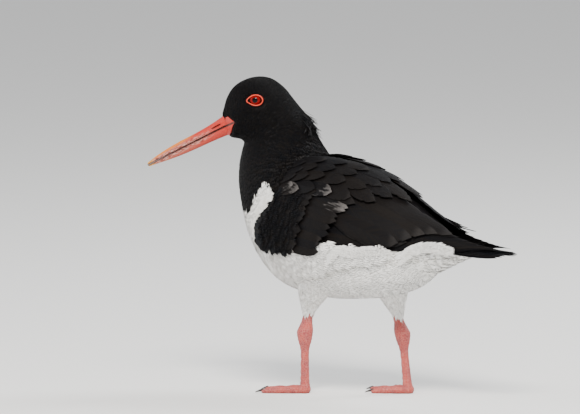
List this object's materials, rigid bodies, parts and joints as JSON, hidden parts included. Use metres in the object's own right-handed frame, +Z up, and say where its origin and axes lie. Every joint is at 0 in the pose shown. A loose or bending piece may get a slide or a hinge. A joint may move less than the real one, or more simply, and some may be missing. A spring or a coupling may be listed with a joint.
{
  "type": "oystercatcher",
  "caption": "Still, life-size pied wader standing in mid stride, its head turned to the left, with a long straight bill and closed wings.",
  "frame": {"origin": "middle of the bird's box on the floor it stands on", "axes": "+Z up, the body points along -X, its left side faces -Y"},
  "size_m": [0.3081, 0.1147, 0.2446],
  "materials": {
    "black_feathers": "glossy blue-black body feathers",
    "white_feathers": "soft matte white body feathers",
    "flight_feathers": "satin brown-black flight and covert feathers with worn pale tips",
    "bill": "smooth horn, orange-red, paler and browner towards the tip",
    "eyelid": "finely pebbled bare skin, orange-red",
    "eye": "wet, deep red iris with a dark pupil",
    "leg_skin": "dull pink scaled skin",
    "claw": "dark horn"
  },
  "bodies": {
    "root": {"torso": "white_feathers", "neck": "black_feathers", "head": "black_feathers", "bill_upper": "bill", "bill_lower": "bill", "tail": "flight_feathers", "eye_left": "eye", "eye_right": "eye", "eyelid_left": "eyelid", "eyelid_right": "eyelid", "thigh_left": "white_feathers", "thigh_right": "white_feathers", "leg_left": "leg_skin", "leg_right": "leg_skin", "toe_left_middle": "leg_skin", "toe_left_inner": "leg_skin", "toe_left_outer": "leg_skin", "toe_right_middle": "leg_skin", "toe_right_inner": "leg_skin", "toe_right_outer": "leg_skin", "claw_left_middle": "claw", "claw_left_inner": "claw", "claw_left_outer": "claw", "claw_right_middle": "claw", "claw_right_inner": "claw", "claw_right_outer": "claw", "wing_left": "flight_feathers", "wing_right": "flight_feathers"}
  },
  "joints": []
}
